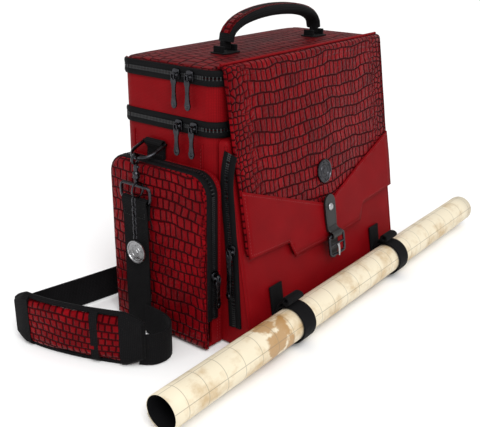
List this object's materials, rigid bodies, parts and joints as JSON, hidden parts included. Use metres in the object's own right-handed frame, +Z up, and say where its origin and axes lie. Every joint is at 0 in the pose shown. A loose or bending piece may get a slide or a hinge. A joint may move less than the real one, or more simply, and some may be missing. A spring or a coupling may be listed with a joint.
{
  "type": "carry case",
  "caption": "Structured carry case with a zipped tray and lid, buckled front flap, side pocket, shoulder strap, hanging charm and a rolled map held on its front.",
  "frame": {"origin": "middle of the main shell's underside, on the surface that it stands on", "axes": "+X along the front towards the right as seen from the front, +Y from the front to the back, +Z up"},
  "size_m": [0.61, 0.257, 0.3213],
  "materials": {
    "red_nylon": "woven",
    "croc_leather": "embossed, glossy",
    "black_webbing": "woven",
    "zip_tape": "woven",
    "black_leather": "smooth",
    "gunmetal": "dark, satin",
    "stiff_board": "matte",
    "divider_cloth": "brushed",
    "map_paper": "printed, satin",
    "map_back": "matte",
    "magnet_steel": "polished"
  },
  "bodies": {
    "case": {"main_shell": "red_nylon", "base_stiffener": "stiff_board", "divider_panels": "divider_cloth", "front_pocket": "red_nylon", "front_zip_tape": "zip_tape", "mid_zip_lower_tape": "zip_tape", "side_pocket_gusset": "red_nylon", "pocket_zip_inner_tape": "zip_tape", "ring_tabs": "black_webbing", "magnet_socket": "magnet_steel", "left_map_loop": "black_webbing", "right_map_loop": "black_webbing", "left_strap_drop": "black_webbing", "strap_end_run": "black_webbing", "shoulder_pad": "croc_leather", "strap_back_run": "black_webbing", "right_strap_drop": "black_webbing", "strap_adjuster": "stiff_board", "pocket_door": "croc_leather", "pocket_zip_outer_tape": "zip_tape"},
    "tray": {"tray_shell": "red_nylon", "mid_zip_upper_tape": "zip_tape", "top_zip_lower_tape": "zip_tape"},
    "lid": {"lid_panel": "croc_leather", "lid_stiffener": "stiff_board", "top_zip_upper_tape": "zip_tape", "handle_anchors": "black_webbing"},
    "handle": {"handle_grip": "black_leather"},
    "flap": {"flap_panel": "croc_leather", "flap_trim": "red_nylon", "front_badge": "gunmetal", "closure_tab": "black_leather", "rivets": "gunmetal", "closure_strap": "black_leather", "magnet_stud": "magnet_steel"},
    "buckle": {"buckle_frame": "gunmetal"},
    "prong": {"buckle_prong": "gunmetal"},
    "left_ring": {"left_d_ring": "gunmetal", "left_snap_hook": "gunmetal", "left_strap_end": "black_webbing"},
    "right_ring": {"right_d_ring": "gunmetal", "right_snap_hook": "gunmetal", "right_strap_end": "black_webbing"},
    "charm": {"charm_chain": "gunmetal", "charm_disc": "gunmetal"},
    "map": {"map_sheet": "map_paper", "map_backing": "map_back"},
    "top_slider_rear": {"top_slider_rear": "gunmetal"},
    "top_slider_front": {"top_slider_front": "gunmetal"},
    "mid_slider_rear": {"mid_slider_rear": "gunmetal"},
    "mid_slider_front": {"mid_slider_front": "gunmetal"},
    "pocket_slider": {"pocket_slider": "gunmetal"},
    "front_slider": {"front_slider": "gunmetal"},
    "top_pull_rear": {"top_pull_rear": "gunmetal"},
    "top_pull_front": {"top_pull_front": "gunmetal"},
    "mid_pull_rear": {"mid_pull_rear": "gunmetal"},
    "mid_pull_front": {"mid_pull_front": "gunmetal"},
    "pocket_pull": {"pocket_pull": "gunmetal"},
    "front_pull": {"front_pull": "gunmetal"}
  },
  "joints": [
    {"name": "tray_hinge", "type": "hinge", "parent": "case", "child": "tray", "pos_m": [0, 0.0635, 0.221], "axis": [-1, 0, 0], "range_deg": [0, 75]},
    {"name": "lid_hinge", "type": "hinge", "parent": "tray", "child": "lid", "pos_m": [0, 0.0635, 0.269], "axis": [1, 0, 0], "range_deg": [-100, 0]},
    {"name": "flap_hinge", "type": "hinge", "parent": "lid", "child": "flap", "pos_m": [0, -0.0691, 0.276], "axis": [1, 0, 0], "range_deg": [-150, 0]},
    {"name": "handle_swing", "type": "hinge", "parent": "lid", "child": "handle", "pos_m": [0, -0.016, 0.2853], "axis": [1, 0, 0], "range_deg": [-45, 45]},
    {"name": "buckle_swing", "type": "hinge", "parent": "flap", "child": "buckle", "pos_m": [0, -0.1082, 0.08299], "axis": [-1, 0, 0], "range_deg": [0, 70]},
    {"name": "prong_swing", "type": "hinge", "parent": "buckle", "child": "prong", "pos_m": [0, -0.11, 0.07184], "axis": [-1, 0, 0], "range_deg": [0, 80]},
    {"name": "left_ring_swing", "type": "hinge", "parent": "case", "child": "left_ring", "pos_m": [-0.1532, 0.014, 0.198], "axis": [0, 1, 0], "range_deg": [0, 30]},
    {"name": "right_ring_swing", "type": "hinge", "parent": "case", "child": "right_ring", "pos_m": [0.1532, 0.014, 0.198], "axis": [0, -1, 0], "range_deg": [0, 40]},
    {"name": "charm_swing", "type": "hinge", "parent": "left_ring", "child": "charm", "pos_m": [-0.18051, 0.009, 0.16042], "axis": [1, 0, 0], "range_deg": [-12, 12]},
    {"name": "map_slide", "type": "slide", "parent": "case", "child": "map", "axis": [1, 0, 0], "range_m": [-0.19, 0.17]},
    {"name": "top_rear_zip", "type": "slide", "parent": "tray", "child": "top_slider_rear", "axis": [0, 1, 0], "range_m": [0, 0.065]},
    {"name": "top_front_zip", "type": "slide", "parent": "tray", "child": "top_slider_front", "axis": [0, 1, 0], "range_m": [-0.012, 0]},
    {"name": "mid_rear_zip", "type": "slide", "parent": "case", "child": "mid_slider_rear", "axis": [0, 1, 0], "range_m": [0, 0.01]},
    {"name": "mid_front_zip", "type": "slide", "parent": "case", "child": "mid_slider_front", "axis": [0, 1, 0], "range_m": [-0.009, 0]},
    {"name": "pocket_zip", "type": "slide", "parent": "case", "child": "pocket_slider", "axis": [0, 0, 1], "range_m": [-0.04, 0]},
    {"name": "front_zip", "type": "slide", "parent": "case", "child": "front_slider", "axis": [0, 0.076, 0.9971], "range_m": [0, 0.05]},
    {"name": "top_pull_rear_swing", "type": "hinge", "parent": "top_slider_rear", "child": "top_pull_rear", "pos_m": [-0.1557, -0.016, 0.269], "axis": [0, 1, 0], "range_deg": [0, 120]},
    {"name": "top_pull_front_swing", "type": "hinge", "parent": "top_slider_front", "child": "top_pull_front", "pos_m": [-0.1557, -0.033, 0.269], "axis": [0, 1, 0], "range_deg": [0, 120]},
    {"name": "mid_pull_rear_swing", "type": "hinge", "parent": "mid_slider_rear", "child": "mid_pull_rear", "pos_m": [-0.1557, -0.018, 0.221], "axis": [0, 1, 0], "range_deg": [0, 120]},
    {"name": "mid_pull_front_swing", "type": "hinge", "parent": "mid_slider_front", "child": "mid_pull_front", "pos_m": [-0.1557, -0.037, 0.221], "axis": [0, 1, 0], "range_deg": [0, 120]},
    {"name": "front_pull_swing", "type": "hinge", "parent": "front_slider", "child": "front_pull", "pos_m": [-0.1548, -0.0825, 0.108], "axis": [0, 1, 0], "range_deg": [0, 120]},
    {"name": "pocket_pull_swing", "type": "hinge", "parent": "pocket_slider", "child": "pocket_pull", "pos_m": [-0.1643, -0.0763, 0.082], "axis": [-1, 0, 0], "range_deg": [0, 120]}
  ]
}
